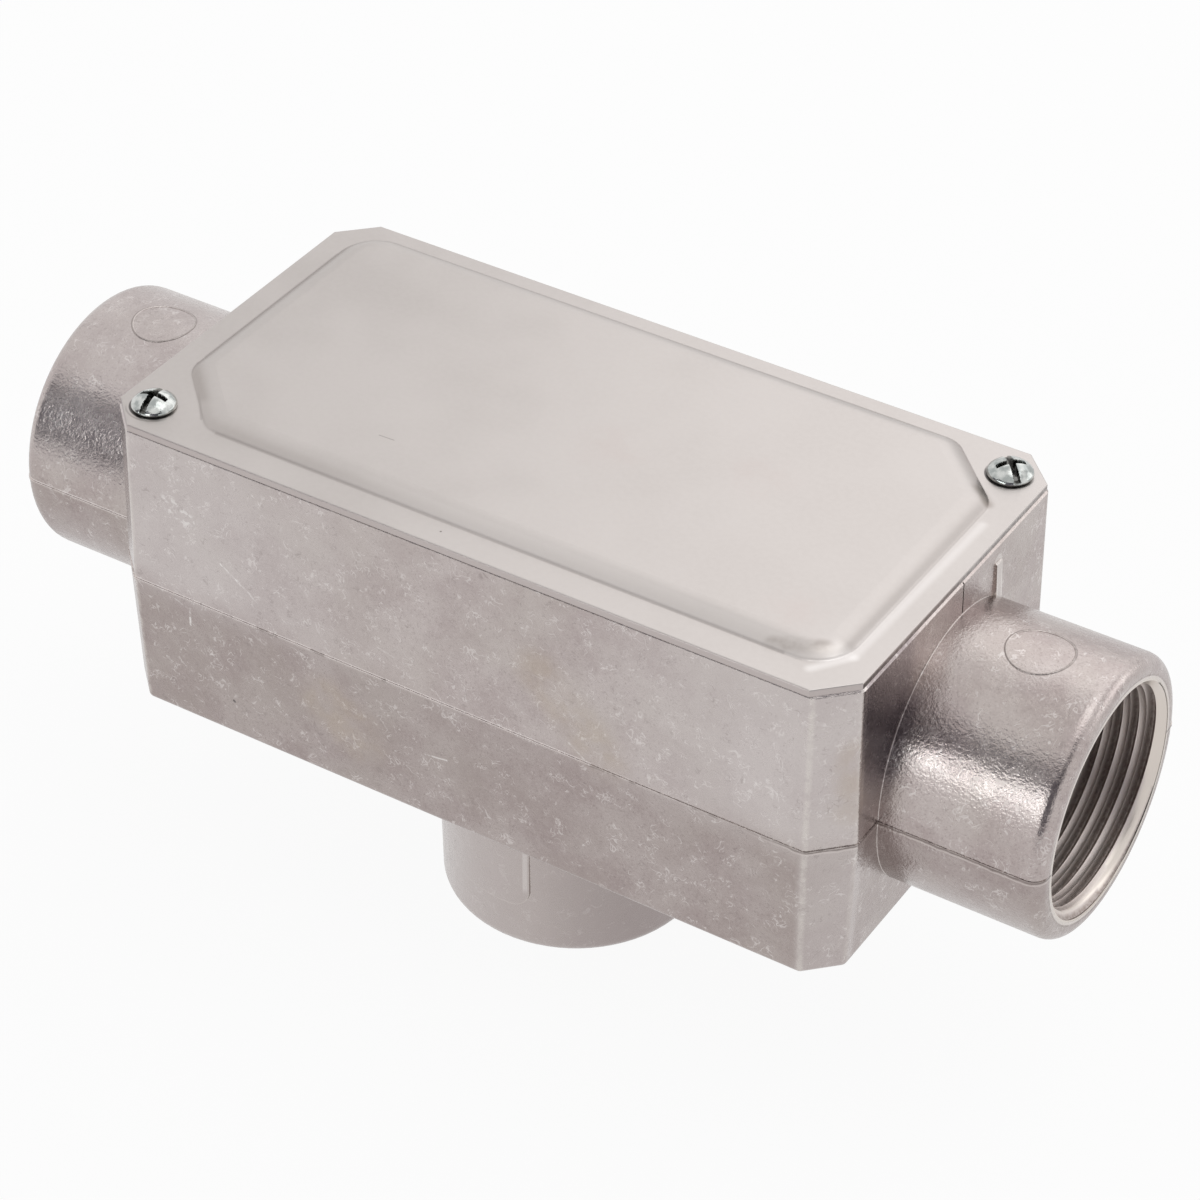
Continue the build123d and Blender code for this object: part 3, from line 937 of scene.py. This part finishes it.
def build_object():
    """All the looks of the part."""
    cast, cover, cut, zinc = cast_material(), cover_material(), thread_material(), zinc_material()
    paint("body_casting", cast)
    paint("cover_plate", cover)
    for name in ("left_hub", "right_hub", "back_hub"):
        hub_thread(name + "_thread", mounts[name], cut)
    for side, way in (("left", -1), ("right", 1)):
        ejector_ring("ejector_ring_" + side, way * ring_place, cast)
        end_hub_root("hub_root_" + side, way, cast)
    back_hub_root("hub_root_back", cast)
    for node in screw_cross_turns:
        paint(node, zinc)
        cover_screw(node, zinc)


def seen_directly(tree):
    """1 for rays of the camera, of gloss and of glass, and 0 for the rest."""
    path = tree.nodes.new("ShaderNodeLightPath")
    total = path.outputs["Is Camera Ray"]
    for kind in ("Is Glossy Ray", "Is Transmission Ray"):
        more = tree.nodes.new("ShaderNodeMath")
        more.operation = "MAXIMUM"
        tree.links.new(total, more.inputs[0])
        tree.links.new(path.outputs[kind], more.inputs[1])
        total = more.outputs[0]
    return total


def white_world():
    """A white surround, which lights diffuse things a little less than it shows."""
    world = bpy.data.worlds.new("studio")
    world.use_nodes = True
    bpy.context.scene.world = world
    tree = world.node_tree
    background = tree.nodes["Background"]
    background.inputs["Color"].default_value = (1.0, 1.0, 1.0, 1.0)
    strength = tree.nodes.new("ShaderNodeMapRange")
    strength.inputs["To Min"].default_value = 0.75
    strength.inputs["To Max"].default_value = 1.0
    tree.links.new(seen_directly(tree), strength.inputs["Value"])
    tree.links.new(strength.outputs[0], background.inputs["Strength"])


def white_floor():
    """A pale floor, white to the camera and in gloss, which keeps a light shadow of the object."""
    mesh = bpy.data.meshes.new("floor")
    half = 4.0
    floor_grey, white_share = 0.85, 0.93
    corners = [(-half, -half, 0), (half, -half, 0), (half, half, 0), (-half, half, 0)]
    mesh.from_pydata(corners, [], [(0, 1, 2, 3)])
    floor = bpy.data.objects.new("floor", mesh)
    bpy.context.scene.collection.objects.link(floor)
    material = bpy.data.materials.new("floor_white")
    material.use_nodes = True
    tree = material.node_tree
    tree.nodes.clear()
    output = tree.nodes.new("ShaderNodeOutputMaterial")
    blend = tree.nodes.new("ShaderNodeMixShader")
    diffuse = tree.nodes.new("ShaderNodeBsdfDiffuse")
    diffuse.inputs["Color"].default_value = grey(floor_grey, floor_grey, floor_grey)
    glow = tree.nodes.new("ShaderNodeEmission")
    share = tree.nodes.new("ShaderNodeMath")
    share.operation = "MULTIPLY"
    share.inputs[1].default_value = white_share
    tree.links.new(seen_directly(tree), share.inputs[0])
    tree.links.new(share.outputs[0], blend.inputs[0])
    tree.links.new(diffuse.outputs[0], blend.inputs[1])
    tree.links.new(glow.outputs[0], blend.inputs[2])
    tree.links.new(blend.outputs[0], output.inputs[0])
    mesh.materials.append(material)


def facing(location, target):
    """The placement that puts something at a location, turned to look at a target."""
    turn = (Vector(target) - Vector(location)).to_track_quat("-Z", "Y")
    return Matrix.Translation(Vector(location)) @ turn.to_matrix().to_4x4()


def softbox(name, place, target, width, height, radiance, tint=(1.0, 1.0, 1.0)):
    """A soft lamp at a place, turned to a target."""
    lamp = bpy.data.lights.new(name, "AREA")
    lamp.shape = "RECTANGLE"
    lamp.size = width
    lamp.size_y = height
    lamp.energy = radiance * 4 * width * height
    lamp.color = tint
    piece = bpy.data.objects.new(name, lamp)
    piece.matrix_world = facing(place, target)
    piece.visible_camera = False
    bpy.context.scene.collection.objects.link(piece)


def dark_front():
    """The dark studio side behind the camera, with an open window, which draws the hubs' dark bands."""
    left, right, top = -1.3, 0.9, 0.95
    window_left, window_right, window_top = -0.42, 0.16, 0.50
    away = -0.75
    wing_end, wing_foot, wing_top = -0.25, 0.5, 1.3
    panels = (
        (left, window_left, 0.001, window_top),
        (window_right, right, 0.02, window_top),
        (left, right, window_top, top),
    )
    points = [
        (x, away, z)
        for low_x, high_x, low_z, high_z in panels
        for x, z in ((low_x, low_z), (high_x, low_z), (high_x, high_z), (low_x, high_z))
    ]
    wing = ((away, wing_foot), (wing_end, wing_foot), (wing_end, wing_top), (away, wing_top))
    points += [(right, y, z) for y, z in wing]
    faces = [tuple(range(4 * panel, 4 * panel + 4)) for panel in range(len(panels) + 1)]
    mesh = bpy.data.meshes.new("dark_front")
    mesh.from_pydata(points, [], faces)
    card = bpy.data.objects.new("dark_front", mesh)
    card.visible_camera = False
    bpy.context.scene.collection.objects.link(card)
    material = bpy.data.materials.new("card_dark")
    material.use_nodes = True
    surface = material.node_tree.nodes["Principled BSDF"]
    surface.inputs["Base Color"].default_value = (0.19, 0.18, 0.21, 1.0)
    surface.inputs["Roughness"].default_value = 0.9
    mesh.materials.append(material)


def studio():
    """White surround and floor, five soft lamps and the dark card."""
    middle = (0.0, 0.0, axis_z)
    white_world()
    white_floor()
    softbox("softbox_back", (-0.02, 0.75, 0.75), middle, 0.95, 0.9, 0.385)
    softbox("softbox_top", (0.30, 0.10, 1.0), middle, 0.5, 0.6, 0.74, (0.97, 1.0, 1.0))
    softbox("softbox_right", (0.85, 0.80, 0.40), middle, 0.7, 0.5, 0.7)
    softbox("strip_front", (-0.14, -0.72, 0.32), middle, 0.52, 0.11, 2.7, (0.94, 1.0, 1.0))
    softbox("strip_left", (-0.66, -0.70, 0.53), middle, 0.36, 0.07, 1.1, (0.94, 1.0, 1.0))
    dark_front()


def photo_camera():
    """The camera where the photograph was taken from, with its long lens."""
    place = (0.221347, -0.348654, 0.365894)
    azimuth, elevation, roll = math.radians(31.971), math.radians(37.549), math.radians(-0.439)
    back = Vector((
        math.sin(azimuth) * math.cos(elevation),
        -math.cos(azimuth) * math.cos(elevation),
        math.sin(elevation),
    ))
    right = Vector((math.cos(azimuth), math.sin(azimuth), 0.0))
    up = back.cross(right)
    across = right * math.cos(roll) - up * math.sin(roll)
    upward = right * math.sin(roll) + up * math.cos(roll)
    lens = bpy.data.cameras.new("photo_camera")
    lens.sensor_width = 36.0
    lens.lens = 113.84
    lens.clip_start = 0.01
    camera = bpy.data.objects.new("photo_camera", lens)
    turn = Matrix((across, upward, back)).transposed().to_4x4()
    camera.matrix_world = Matrix.Translation(place) @ turn
    bpy.context.scene.collection.objects.link(camera)
    bpy.context.scene.camera = camera


build_object()
studio()
photo_camera()
bpy.context.scene.view_settings.view_transform = "Standard"
